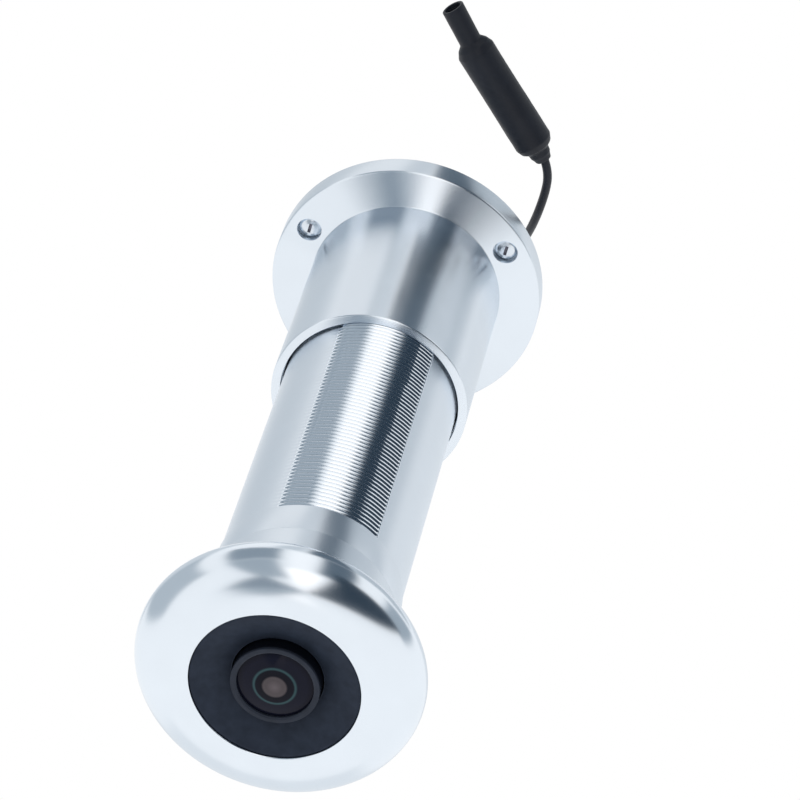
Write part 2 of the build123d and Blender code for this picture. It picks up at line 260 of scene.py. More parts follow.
def turned(name, outline, segments, sharp=crease):
    """Piece turned about the barrel's axis from a closed outline of (radius, place) points."""
    shape = bmesh.new()
    rings = []
    for radius, place in outline:
        if radius < on_axis:
            rings.append([shape.verts.new((0.0, place, 0.0))])
        else:
            corners = [(2 * math.pi * step / segments, radius) for step in range(segments)]
            rings.append(ring_at(shape, place, corners))
    for first, second in zip(rings, rings[1:] + rings[:1]):
        join_rings(shape, first, second)
    return new_piece(name, shape, sharp)


def join_rings(shape, first, second):
    """Faces between two rings of points, either of which may be one point on the axis."""
    if len(first) == 1 and len(second) == 1:
        return
    count = max(len(first), len(second))
    for step in range(count):
        after = (step + 1) % count
        if len(first) == 1:
            shape.faces.new((first[0], second[after], second[step]))
        elif len(second) == 1:
            shape.faces.new((first[step], first[after], second[0]))
        else:
            shape.faces.new((first[step], first[after], second[after], second[step]))


def round_the_axis(turn, radius):
    """X and Z of a point at an angle and distance from the barrel's axis."""
    return radius * math.cos(turn), radius * math.sin(turn)


def carve(piece, cutters):
    """Takes the cutters out of a piece, and removes them."""
    for cutter in cutters:
        cut = piece.modifiers.new("cut", "BOOLEAN")
        cut.operation = "DIFFERENCE"
        cut.solver = "EXACT"
        cut.object = cutter
    depsgraph = bpy.context.evaluated_depsgraph_get()
    mesh = bpy.data.meshes.new_from_object(piece.evaluated_get(depsgraph))
    piece.modifiers.clear()
    piece.data = mesh
    smooth(mesh, crease)
    for cutter in cutters:
        bpy.data.objects.remove(cutter, do_unlink=True)


def drills(angles, distance, *holes):
    """Round cutters off the axis, one for each angle and each hole's radius, start and end."""
    cutters = []
    for turn in angles:
        x, z = round_the_axis(turn, distance)
        for radius, start, end in holes:
            cutter = turned("cutter", [(0, start), (radius, start), (radius, end), (0, end)], 48)
            cutter.data.transform(Matrix.Translation((x, 0, z)))
            cutters.append(cutter)
    return cutters


# Finishes


class Nodes:
    """Node tree, built a node at a time."""

    def __init__(self, tree):
        self.tree = tree

    def put(self, node, inputs):
        """Links or sets a node's inputs, by name or number, and leaves out those that are None."""
        for socket, value in inputs.items():
            if isinstance(value, NodeSocket):
                self.tree.links.new(value, node.inputs[socket])
            elif value is not None:
                node.inputs[socket].default_value = value

    def add(self, kind, inputs=None, **values):
        node = self.tree.nodes.new(kind)
        for key, value in values.items():
            setattr(node, key, value)
        self.put(node, inputs or {})
        return node

    def math(self, operation, *values):
        return self.add("ShaderNodeMath", dict(enumerate(values)), operation=operation).outputs[0]

    def ramp(self, source, *stops):
        node = self.add("ShaderNodeValToRGB", {"Fac": source})
        elements = node.color_ramp.elements
        while len(elements) < len(stops):
            elements.new(0.5)
        for element, (where, value) in zip(elements, stops):
            element.position = where
            element.color = (*value, 1.0)
        return node.outputs["Color"]

    def span(self, source, low, high, start=0.0, end=1.0, kind="LINEAR"):
        """Maps one range, 0 to 1 if not given, onto another."""
        inputs = {"Value": source, "From Min": start, "From Max": end, "To Min": low, "To Max": high}
        return self.add("ShaderNodeMapRange", inputs, interpolation_type=kind).outputs["Result"]

    def blend(self, factor, first, second):
        """Mix of a colour, from a socket, with a second one."""
        inputs = {"Factor": factor, 6: first, 7: (*second, 1.0)}
        return self.add("ShaderNodeMix", inputs, data_type="RGBA").outputs[2]

    def shaders(self, share, first, second):
        """Mix of two shaders, by a number or a socket."""
        return self.add("ShaderNodeMixShader", {"Fac": share, 1: first, 2: second}).outputs[0]


class Recipe(Nodes):
    """Node tree of one material."""

    def __init__(self, name):
        material = bpy.data.materials.new(name)
        material.use_nodes = True
        super().__init__(material.node_tree)
        self.shader = self.tree.nodes["Principled BSDF"]

    def place(self):
        """Object coordinates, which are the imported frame's, in metres."""
        return self.add("ShaderNodeTexCoord").outputs["Object"]

    def surface(self, shader):
        self.put(self.tree.nodes["Material Output"], {"Surface": shader})

    def vector(self, operation, *values):
        node = self.add("ShaderNodeVectorMath", dict(enumerate(values)), operation=operation)
        return node.outputs["Vector"]

    def outward(self):
        """Object coordinates without the one along the barrel's axis."""
        return self.vector("MULTIPLY", self.place(), (1.0, 0.0, 1.0))

    def radius(self):
        """Distance from the barrel's axis."""
        node = self.add("ShaderNodeVectorMath", {0: self.outward()}, operation="LENGTH")
        return node.outputs["Value"]

    def lathe(self):
        """Distance along a turned surface: it changes across the tool's marks on faces and walls alike."""
        split = self.add("ShaderNodeSeparateXYZ", {0: self.place()})
        return self.math("ADD", self.radius(), split.outputs["Y"])

    def grooves(self, scale):
        """Noise in rings, from the lathe's feed."""
        inputs = {"Scale": scale, "Detail": 3.0, "W": self.lathe()}
        return self.add("ShaderNodeTexNoise", inputs, noise_dimensions="1D").outputs["Fac"]

    def speckle(self, scale, detail):
        """Noise in all directions."""
        inputs = {"Scale": scale, "Detail": detail, "Roughness": 0.6, "Vector": self.place()}
        return self.add("ShaderNodeTexNoise", inputs).outputs["Fac"]

    def leaned(self, share):
        """Surface normal, leaned away from the axis like the flank of a facing cut."""
        outward = self.vector("NORMALIZE", self.outward())
        inputs = {0: self.vector("MULTIPLY", outward, (share, share, share))}
        turn = self.add("ShaderNodeVectorTransform", inputs, vector_type="NORMAL", convert_from="OBJECT")
        face = self.add("ShaderNodeNewGeometry").outputs["Normal"]
        return self.vector("NORMALIZE", self.vector("ADD", face, turn.outputs[0]))

    def bump(self, height, strength, distance, under=None):
        inputs = {"Strength": strength, "Distance": distance, "Height": height, "Normal": under}
        self.put(self.shader, {"Normal": self.add("ShaderNodeBump", inputs).outputs["Normal"]})


def shade(colour, factor):
    """Colour made lighter or darker."""
    return tuple(min(1.0, part * factor) for part in colour)


def turned_metal(name, colour, low, high, mark, streak=0.75, lean=0.0, root_shade=1.0):
    """Lathe-turned metal: fine rings, faint handling marks, and a shine drawn out across the rings.

    The roughness runs from low to high, a lean tilts the shine away from the axis, and root_shade
    is painted shade: below 1 it darkens the colour towards the thread's roots.
    """
    recipe = Recipe(name)
    around = recipe.add("ShaderNodeTangent", direction_type="RADIAL", axis="Y")
    fine = recipe.grooves(9000.0)
    smear = recipe.speckle(190.0, 4.0)
    tone = recipe.ramp(smear, (0.3, shade(colour, 0.97)), (0.7, colour))
    # painted shade: the colour darkens into the thread's roots, where shade falls between the flanks
    if root_shade < 1.0:
        root, crest = 10.56 * MM, 10.84 * MM
        deep = recipe.span(recipe.radius(), 1.0, 0.0, root, crest)
        tone = recipe.blend(deep, tone, shade(colour, root_shade))
    blend = recipe.math("ADD", recipe.math("MULTIPLY", fine, 0.35), recipe.math("MULTIPLY", smear, 0.65))
    inputs = {
        "Metallic": 1.0,
        "Anisotropic": streak,
        "Anisotropic Rotation": 0.25,
        "Tangent": around.outputs["Tangent"],
        "Base Color": tone,
        "Roughness": recipe.span(blend, low, high),
    }
    recipe.put(recipe.shader, inputs)
    recipe.bump(fine, mark, 0.00001, recipe.leaned(lean) if lean else None)


def plain_plastic(name, colour, low, high, grain, mark, shine=0.5):
    """Moulded or coated surface with a fine grain, its roughness from low to high."""
    recipe = Recipe(name)
    fine = recipe.speckle(grain, 4.0)
    slow = recipe.speckle(grain / 14, 2.0)
    tone = recipe.ramp(slow, (0.3, shade(colour, 0.85)), (0.7, shade(colour, 1.15)))
    rough = recipe.span(fine, low, high)
    recipe.put(recipe.shader, {"Specular IOR Level": shine, "Base Color": tone, "Roughness": rough})
    recipe.bump(fine, mark, 0.00003)


def clear_glass(name, colour, shine):
    """Tinted filter glass: a clear body under a weak blue shine."""
    recipe = Recipe(name)
    blue = (0.55, 0.78, 1.0, 1.0)
    recipe.put(recipe.shader, {"Metallic": 1.0, "Roughness": 0.04, "Base Color": blue})
    coat = recipe.ramp(recipe.speckle(500.0, 2.0), (0.2, shade(colour, 0.96)), (0.8, colour))
    body = recipe.add("ShaderNodeBsdfTransparent", {"Color": coat})
    recipe.surface(recipe.shaders(shine, body.outputs[0], recipe.shader.outputs[0]))


def coated_glass(name, look):
    """Front glass, painted in rings round the axis: a pink-grey disc at the middle that is partly a painted
    reflection, with a painted highlight lighter at its centre, then a teal ring, then deep blue towards the
    edge.
    """
    recipe = Recipe(name)
    deep, edge = look.glass, 4.4 * MM
    rings = recipe.ramp(
        recipe.span(recipe.radius(), 0.0, 1.0, 0.0, edge),
        # painted reflection and highlight: the pupil's disc stands partly for a reflection in the inner
        # glass, and is painted lighter at its middle
        (0.0, shade(look.pupil, 1.5)),
        (0.13, shade(look.pupil, 1.2)),
        (0.2, look.pupil),
        (0.29, look.pupil),
        (0.34, shade(deep, 0.5)),
        (0.49, shade(deep, 0.6)),
        (0.525, look.lens_edge),
        (0.545, look.lens_edge),
        (0.59, shade(deep, 0.9)),
        (0.8, deep),
        (1.0, shade(deep, 0.6)),
    )
    haze = recipe.ramp(recipe.speckle(500.0, 2.0), (0.2, (0.94, 0.94, 0.95)), (0.8, (1.0, 1.0, 1.0)))
    tone = recipe.vector("MULTIPLY", rings, haze)
    recipe.put(recipe.shader, {"Roughness": 0.07, "IOR": 1.2, "Base Color": tone})


def board_green(name, colour):
    """Solder-masked board with copper tracks under it."""
    recipe = Recipe(name)
    inputs = {"Scale": 900.0, "Vector": recipe.place()}
    cells = recipe.add("ShaderNodeTexVoronoi", inputs, feature="DISTANCE_TO_EDGE").outputs["Distance"]
    tracks = recipe.ramp(cells, (0.02, shade(colour, 1.5)), (0.05, colour))
    recipe.put(recipe.shader, {"Roughness": 0.35, "Base Color": tracks})
    recipe.bump(cells, 0.1, 0.00003)


def finish(piece, material):
    """Gives a piece its material, by name."""
    piece.data.materials.clear()
    piece.data.materials.append(bpy.data.materials[material])


def part_finish(piece, material, chosen):
    """Gives the chosen faces of a piece a second material, by name."""
    piece.data.materials.append(bpy.data.materials[material])
    for face in piece.data.polygons:
        if chosen(face):
            face.material_index = 1


def is_flat(face):
    """Whether a face looks along the barrel's axis."""
    return abs(face.normal.y) > 0.9


def dress_node(name, material):
    """Gives a carried-over solid its material, by name, on the object."""
    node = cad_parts[name]
    if not node.material_slots:
        node.data.materials.append(bpy.data.materials[material])
    for slot in node.material_slots:
        slot.link = "OBJECT"
        slot.material = bpy.data.materials[material]


# Cloths in the studio, each by its middle and half width round the barrel's axis, its nearest and
# farthest angle from the axis, all in degrees, and how light it is
cloth_edge = 4.0  # degrees over which a cloth fades out on each side of its edge
cloths = [
    (-30, 32, -10, 58, 0.72),
    (-38, 22, 54, 122, 0.55),
    (-96, 17, 58, 112, 0.33),
    (-94, 17, 112, 160, 0.44),
    (-50, 34, 157, 180, 0.28),
    (-115, 10, -10, 56, 0.68),
    (-147, 18, -10, 56, 0.15),
    (-152, 12, 56, 130, 0.15),
    (-179, 16, -10, 50, 0.56),
    (158, 14, 66, 112, 0.42),
    (155, 12, -10, 56, 0.56),
    (95, 38, -10, 50, 0.8),
    (48, 22, 45, 112, 0.86),
    (-180, 28, 108, 180, 0.05),
    (5, 24, 160, 186, 0.4),
    (40, 13, 164, 180, 1.3),
    (-127, 8, 62, 140, 1.1),
    (-130, 15, 136, 168, 1.4),
    (-128, 22, 164, 180, 1.3),
]


def cloth_tint(light):
    """Colour of a cloth: the darker it is, the cooler."""
    return light**1.15, light, light**0.88


# Operators


class PEEPHOLE_OT_finishes(Operator):
    """Make the materials that the pieces share"""

    bl_idname = "peephole.finishes"
    bl_label = "Finishes"

    def execute(self, context):
        look = context.scene.peephole_finish
        metal = look.aluminium
        turned_metal("turned aluminium", metal, 0.22, 0.3, 0.04, 0.85)
        turned_metal("turned face", metal, 0.2, 0.26, 0.04, 0.93, 0.28)
        turned_metal("satin collar", metal, 0.28, 0.36, 0.03, 0.6)
        turned_metal("polished head", metal, 0.15, 0.21, 0.0, 0.45)
        # the last value is painted shade, darkening the colour in the thread's roots
        turned_metal("thread flanks", metal, 0.08, 0.14, 0.0, 0.2, 0.0, 0.55)
        turned_metal("screw steel", shade(metal, 0.95), 0.2, 0.28, 0.05, 0.0)
        # painted shade: the screws' slots get this dark colour in place of the shade inside them
        plain_plastic("slot shade", (0.3, 0.3, 0.36), 0.5, 0.6, 3000.0, 0.1)
        plain_plastic("black bezel", look.bezel, 0.5, 0.65, 9000.0, 0.2, 0.1)
        plain_plastic("lens black", look.lens_body, 0.3, 0.5, 7000.0, 0.15, 0.2)
        plain_plastic("lens rim grey", look.lens_rim, 0.35, 0.5, 7000.0, 0.1, 0.15)
        plain_plastic("shrink black", look.sleeve_black, 0.36, 0.55, 1400.0, 0.5, 0.3)
        plain_plastic("lead black", look.sleeve_black, 0.32, 0.45, 3000.0, 0.2, 0.25)
        plain_plastic("bush rubber", (0.012, 0.012, 0.014), 0.5, 0.7, 4000.0, 0.3)
        plain_plastic("moulded black", (0.02, 0.02, 0.021), 0.4, 0.6, 5000.0, 0.3)
        plain_plastic("chip black", (0.022, 0.022, 0.024), 0.45, 0.6, 9000.0, 0.3)
        plain_plastic("core white", (0.75, 0.75, 0.72), 0.3, 0.45, 3000.0, 0.15)
        plain_plastic("sensor face", (0.05, 0.055, 0.07), 0.1, 0.2, 9000.0, 0.05)
        turned_metal("plug brass", (0.83, 0.66, 0.3), 0.25, 0.4, 0.1)
        turned_metal("tube copper", (0.76, 0.42, 0.28), 0.3, 0.45, 0.1)
        coated_glass("front glass", look)
        clear_glass("filter glass", (0.8, 0.45, 0.5), 0.06)
        board_green("board green", (0.01, 0.09, 0.04))
        return {"FINISHED"}


class PEEPHOLE_OT_stage(Operator):
    """Make the camera, the floor, the lamps and the world"""

    bl_idname = "peephole.stage"
    bl_label = "Stage"

    def execute(self, context):
        stage = context.scene.peephole_stage
        self.camera(context, stage)
        self.floor(context, stage)
        self.lamps(context)
        self.world(context)
        context.scene.view_settings.view_transform = "Standard"
        return {"FINISHED"}

    def camera(self, context, stage):
        look = Vector(stage.look).normalized()
        right = look.cross(Vector(stage.up)).normalized()
        up = right.cross(look)
        turn = Matrix((right, up, -look)).transposed().to_4x4()
        data = bpy.data.cameras.new("camera")
        data.lens = stage.lens
        data.sensor_width = 36.0
        data.clip_start = 0.01
        camera = bpy.data.objects.new("camera", data)
        camera.matrix_world = Matrix.Translation(stage.place) @ turn
        context.collection.objects.link(camera)
        context.scene.camera = camera

    def floor(self, context, stage):
        mesh = bpy.data.meshes.new("floor")
        half = 2.5
        corners = [(-half, -half), (half, -half), (half, half), (-half, half)]
        mesh.from_pydata([(x, y, stage.floor) for x, y in corners], [], [(0, 1, 2, 3)])
        floor = bpy.data.objects.new("floor", mesh)
        context.collection.objects.link(floor)
        recipe = Recipe("pale floor")
        pale = recipe.ramp(recipe.speckle(3.0, 2.0), (0.3, (0.8, 0.81, 0.82)), (0.7, (0.84, 0.85, 0.86)))
        recipe.put(recipe.shader, {"Roughness": 0.9, "Base Color": pale})
        clear = recipe.add("ShaderNodeBsdfTransparent").outputs[0]
        mirrored = recipe.add("ShaderNodeLightPath").outputs["Is Glossy Ray"]
        recipe.surface(recipe.shaders(mirrored, recipe.shader.outputs[0], clear))
        finish(floor, "pale floor")

    def lamp(self, context, name, place, aim, width, power):
        data = bpy.data.lights.new(name, "AREA")
        data.size = width
        data.energy = power
        lamp = bpy.data.objects.new(name, data)
        lamp.location = place
        lamp.rotation_euler = (Vector(aim) - Vector(place)).to_track_quat("-Z", "Y").to_euler()
        lamp.visible_glossy = False
        context.collection.objects.link(lamp)

    def lamps(self, context):
        middle = (0.0, 0.04, 0.0)
        self.lamp(context, "key lamp", (-0.5, -0.5, 0.55), middle, 0.5, 0.7)
        self.lamp(context, "fill lamp", (0.6, -0.3, 0.1), middle, 0.5, 0.4)

    def world(self, context):
        world = bpy.data.worlds.new("studio")
        world.use_nodes = True
        context.scene.world = world
        nodes = Nodes(world.node_tree)
        nodes.tree.nodes.clear()
        seen = nodes.add("ShaderNodeLightPath").outputs["Is Camera Ray"]
        backdrop = nodes.add("ShaderNodeBackground", {"Color": (1.0, 1.0, 1.0, 1.0)})
        room = nodes.add("ShaderNodeBackground", {"Color": self.room(nodes)})
        mix = nodes.shaders(seen, room.outputs[0], backdrop.outputs[0])
        nodes.add("ShaderNodeOutputWorld", {"Surface": mix})

    def room(self, nodes):
        """White studio with the darker cloths hung round the part."""
        sky = nodes.add("ShaderNodeTexCoord").outputs["Generated"]
        across, along, up = nodes.add("ShaderNodeSeparateXYZ", {0: sky}).outputs
        tilt = nodes.math("DEGREES", nodes.math("ARCCOSINE", along))
        white = nodes.add("ShaderNodeRGB")
        white.outputs[0].default_value = (1.0, 1.0, 1.0, 1.0)
        colour = white.outputs[0]
        for middle, half, near, far, light in cloths:
            turn = math.radians(middle)
            ahead = self.mixed(nodes, across, math.cos(turn), up, math.sin(turn))
            aside = self.mixed(nodes, across, -math.sin(turn), up, math.cos(turn))
            around = nodes.math("DEGREES", nodes.math("ABSOLUTE", nodes.math("ARCTAN2", aside, ahead)))
            beside = nodes.span(around, 1.0, 0.0, half - cloth_edge, half + cloth_edge, "SMOOTHSTEP")
            centre = nodes.math("ABSOLUTE", nodes.math("SUBTRACT", tilt, (near + far) / 2))
            reach = (far - near) / 2
            within = nodes.span(centre, 1.0, 0.0, reach - cloth_edge, reach + cloth_edge, "SMOOTHSTEP")
            colour = nodes.blend(nodes.math("MULTIPLY", beside, within), colour, cloth_tint(light))
        return colour

    def mixed(self, nodes, first, share, second, rest):
        """Sum of two values, each times its own share."""
        return nodes.math("ADD", nodes.math("MULTIPLY", first, share), nodes.math("MULTIPLY", second, rest))


class PEEPHOLE_OT_lead(Operator):
    bl_idname = "peephole.lead"
    bl_label = "Antenna lead"

    def execute(self, context):
        antenna = context.scene.peephole_antenna
        exit_place = (0.0, antenna.exit, 0.0)
        between = [
            (0.0, 93.1, 0.0),
            (-5.2, 96.8, 3.9),
            (-11.3, 94.0, 6.5),
            (-17.0, 88.4, 1.7),
            (-21.5, 86.5, -2.7),
            (-23.25, 85.8, -5.3),
        ]
        route = [exit_place]
        route += [tuple(part * MM for part in place) for place in between]
        route.append((antenna.across, antenna.along, antenna.top))
        curve = bpy.data.curves.new("lead", "CURVE")
        curve.dimensions = "3D"
        spline = curve.splines.new("NURBS")
        spline.points.add(len(route) - 1)
        for point, place in zip(spline.points, route):
            point.co = (*place, 1.0)
        spline.order_u = 3
        spline.use_endpoint_u = True
        spline.resolution_u = 16
        curve.bevel_depth = antenna.lead
        curve.bevel_resolution = 6
        curve.use_fill_caps = True
        lead = bpy.data.objects.new("lead", curve)
        context.collection.objects.link(lead)
        finish(lead, "lead black")
        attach(lead, "camera")
        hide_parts("antenna_lead")
        return {"FINISHED"}


class PEEPHOLE_OT_antenna(Operator):
    """Make the antenna's shrunk cover with its lumpy neck and open tip"""

    bl_idname = "peephole.antenna"
    bl_label = "Antenna"

    def execute(self, context):
        antenna = context.scene.peephole_antenna
        wall = 0.38 * MM
        neck_end = -antenna.neck_length
        shoulder = -antenna.length
        end = shoulder - antenna.tip_length
        outline = [
            (antenna.lead + 0.02 * MM, 0.0),
            (antenna.neck - 0.3 * MM, 0.0, 0.2),
            (antenna.neck - 0.1 * MM, neck_end + 1.0 * MM, 0.2),
            (antenna.neck + 0.05 * MM, neck_end + 0.7 * MM, 0.2),
            (antenna.neck + 0.15 * MM, neck_end, 0.2),
            (antenna.radius - 0.35 * MM, neck_end - 0.5 * MM, 0.4),
            (antenna.radius, neck_end - 1.3 * MM, 0.6),
            (antenna.radius, shoulder + 1.0 * MM, 0.5),
            (antenna.tip + 0.6 * MM, shoulder + 0.15 * MM, 0.4),
            (antenna.tip, shoulder - 0.5 * MM, 0.4),
            (antenna.tip, end, 0.1),
            (antenna.tip - wall, end, 0.1),
            (antenna.tip - wall, shoulder, 0.2),
            (antenna.radius - wall, shoulder + 1.1 * MM, 0.2),
            (antenna.radius - wall, neck_end - 1.1 * MM, 0.2),
            (antenna.lead + 0.02 * MM, neck_end, 0.0),
        ]
        rows = self.divided(eased(outline, 0.1), 0.45 * MM)
        cover = turned("antenna_cover", rows, 64)
        for vertex in cover.data.vertices:
            vertex.co = self.settled(vertex.co, antenna)
        cover.data.update()
        finish(cover, "shrink black")
        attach(cover, "camera")
        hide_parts("antenna_shrink")
        return {"FINISHED"}

    def divided(self, outline, step):
        """Outline with its long sides divided, so that the cover can be uneven."""
        points = []
        for here, there in zip(outline, outline[1:] + outline[:1]):
            count = max(1, int((there - here).length / step))
            for index in range(count):
                points.append(here.lerp(there, index / count))
        return points

    def settled(self, place, antenna):
        """Point of the cover, stood upright, made uneven and with the tip leaning."""
        x, height, z = place
        lumps, ripples, neck_reach, tip_start = (420, 260), (900, 1400), 3.5 * MM, 0.6 * MM
        lump = noise.noise(Vector((x * lumps[0], height * lumps[1], z * lumps[0])))
        ripple = noise.noise(Vector((x * ripples[0] + 7, height * ripples[1], z * ripples[0])))
        near_neck = max(0.0, 1 + height / neck_reach)
        swell = 1 + 0.02 * lump + 0.008 * ripple + near_neck * (0.07 * lump + 0.03 * ripple)
        tip = max(0.0, -antenna.length + tip_start - height)
        lean = -height * math.tan(antenna.lean) - tip * math.tan(antenna.tilt)
        return Vector((antenna.across + x * swell + lean, antenna.along + z * swell, antenna.top + height))


class PEEPHOLE_OT_head(Operator):
    """Make the rounded outer head with its hub"""

    bl_idname = "peephole.head"
    bl_label = "Outer head"

    def execute(self, context):
        head = context.scene.peephole_head
        face = -head.depth
        edge = head.radius - head.face_round
        back = head.radius - head.back_width
        limit = math.degrees(math.asin(head.widest / head.back_depth))
        front_arc = quarter((edge, -head.widest), head.face_round, head.depth - head.widest, 270, 360, 28)
        back_arc = quarter((back, -head.widest), head.back_width, head.back_depth, 0, limit, 16)
        small = 0.06
        spigot_seat = -0.6 * MM
        outline = [(*point, 0.0) for point in front_arc + back_arc[1:-1]]
        outline.append((*back_arc[-1], 0.1))
        outline += [
            (head.hub, 0.0, 0.15),
            (head.hub, head.hub_length, 0.3),
            (head.bore, head.hub_length, small),
            (head.bore, spigot_seat, small),
            (head.throat, spigot_seat, small),
            (head.throat, face + head.pocket_depth, small),
            (head.pocket, face + head.pocket_depth, small),
            (head.pocket, face, 0.12),
        ]
        piece = turned("outer_head", eased(outline, small), 256, 30)
        finish(piece, "polished head")
        hub_start = 0.2 * MM
        part_finish(piece, "satin collar", lambda face: face.center.y > hub_start)
        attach(piece, "camera")
        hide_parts("front_head")
        return {"FINISHED"}


class PEEPHOLE_OT_barrel(Operator):
    """Make the barrel with its collar and the cut thread"""

    bl_idname = "peephole.barrel"
    bl_label = "Threaded barrel"

    def execute(self, context):
        barrel = context.scene.peephole_barrel
        self.body(barrel)
        self.thread(barrel)
        return {"FINISHED"}

    def body(self, barrel):
        front, hub_end, board_step = -0.6 * MM, 8.6 * MM, 6.1 * MM
        throat = 8.3 * MM
        inner = barrel.root - 0.1 * MM
        outline = [
            (throat, front),
            (barrel.spigot, front, 0.2),
            (barrel.spigot, hub_end),
            (barrel.collar, hub_end, 0.12),
            (barrel.collar, barrel.thread_start, 0.15),
            (inner, barrel.thread_start),
            (inner, barrel.end),
            (barrel.bore, barrel.end),
            (barrel.bore, board_step),
            (throat, board_step),
        ]
        piece = turned("barrel_body", eased(outline, 0.05), 192)
        finish(piece, "satin collar")
        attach(piece, "camera")
        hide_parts("threaded_barrel")

    def columns(self, barrel):
        """Angles of the mesh's columns, in degrees, and how much of the thread each one carries."""
        half = math.degrees(barrel.sector) / 2
        steps, plain_steps = 48, 20
        cut, run_out = 0.8, 5.0
        places = []
        for middle in (math.degrees(barrel.middle), math.degrees(barrel.middle) + 180):
            places.append((middle - half - cut, 0.0))
            places.append((middle - half - cut / 2, 0.0))
            for step in range(steps + 1):
                turn = middle - half + step * 2 * half / steps
                fade = min(1.0, (half - (turn - middle)) / run_out)
                places.append((turn, max(0.0, fade)))
            for step in range(1, plain_steps):
                places.append((middle + half + step * (180 - 2 * half - cut) / plain_steps, 0.0))
        return places

    def radius(self, barrel, place, turn, share):
        """Radius of the thread at a place and an angle, for a column that carries a share of it."""
        sharpness = 0.7
        ends = min(1.0, (barrel.end - place) / (0.5 * MM))
        phase = place / barrel.pitch + turn / 360
        tooth = (0.5 - 0.5 * math.cos(2 * math.pi * phase)) ** sharpness
        crest = barrel.root + (barrel.crest - barrel.root) * tooth
        return barrel.relief + share * ends * (crest - barrel.relief)

    def thread(self, barrel):
        """Helical thread on the two raised sectors, plain strips between them."""
        columns = self.columns(barrel)
        angles = [math.radians(turn) for turn, share in columns]
        rows_a_turn = 8
        rows = int((barrel.end - barrel.thread_start) / barrel.pitch * rows_a_turn)
        inner = barrel.root - 0.3 * MM
        shape = bmesh.new()
        grid = []
        for row in range(rows + 1):
            place = barrel.thread_start + (barrel.end - barrel.thread_start) * row / rows
            radii = [self.radius(barrel, place, *column) for column in columns]
            grid.append(ring_at(shape, place, zip(angles, radii)))
        for place, line in ((barrel.thread_start, grid[0]), (barrel.end, grid[-1])):
            rim = ring_at(shape, place, [(turn, inner) for turn in angles])
            join_rings(shape, rim, line)
        for first, second in zip(grid, grid[1:]):
            join_rings(shape, first, second)
        piece = new_piece("barrel_thread", shape, 50)
        finish(piece, "thread flanks")
        part_finish(piece, "satin collar", lambda face: self.on_relief(face, barrel))
        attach(piece, "camera")

    def on_relief(self, face, barrel):
        """Whether a face lies on a plain strip between the threaded sectors."""
        turn = (math.atan2(face.center.z, face.center.x) - barrel.middle) % math.pi
        half, cut = barrel.sector / 2, math.radians(0.5)
        return half < turn < math.pi - half - cut


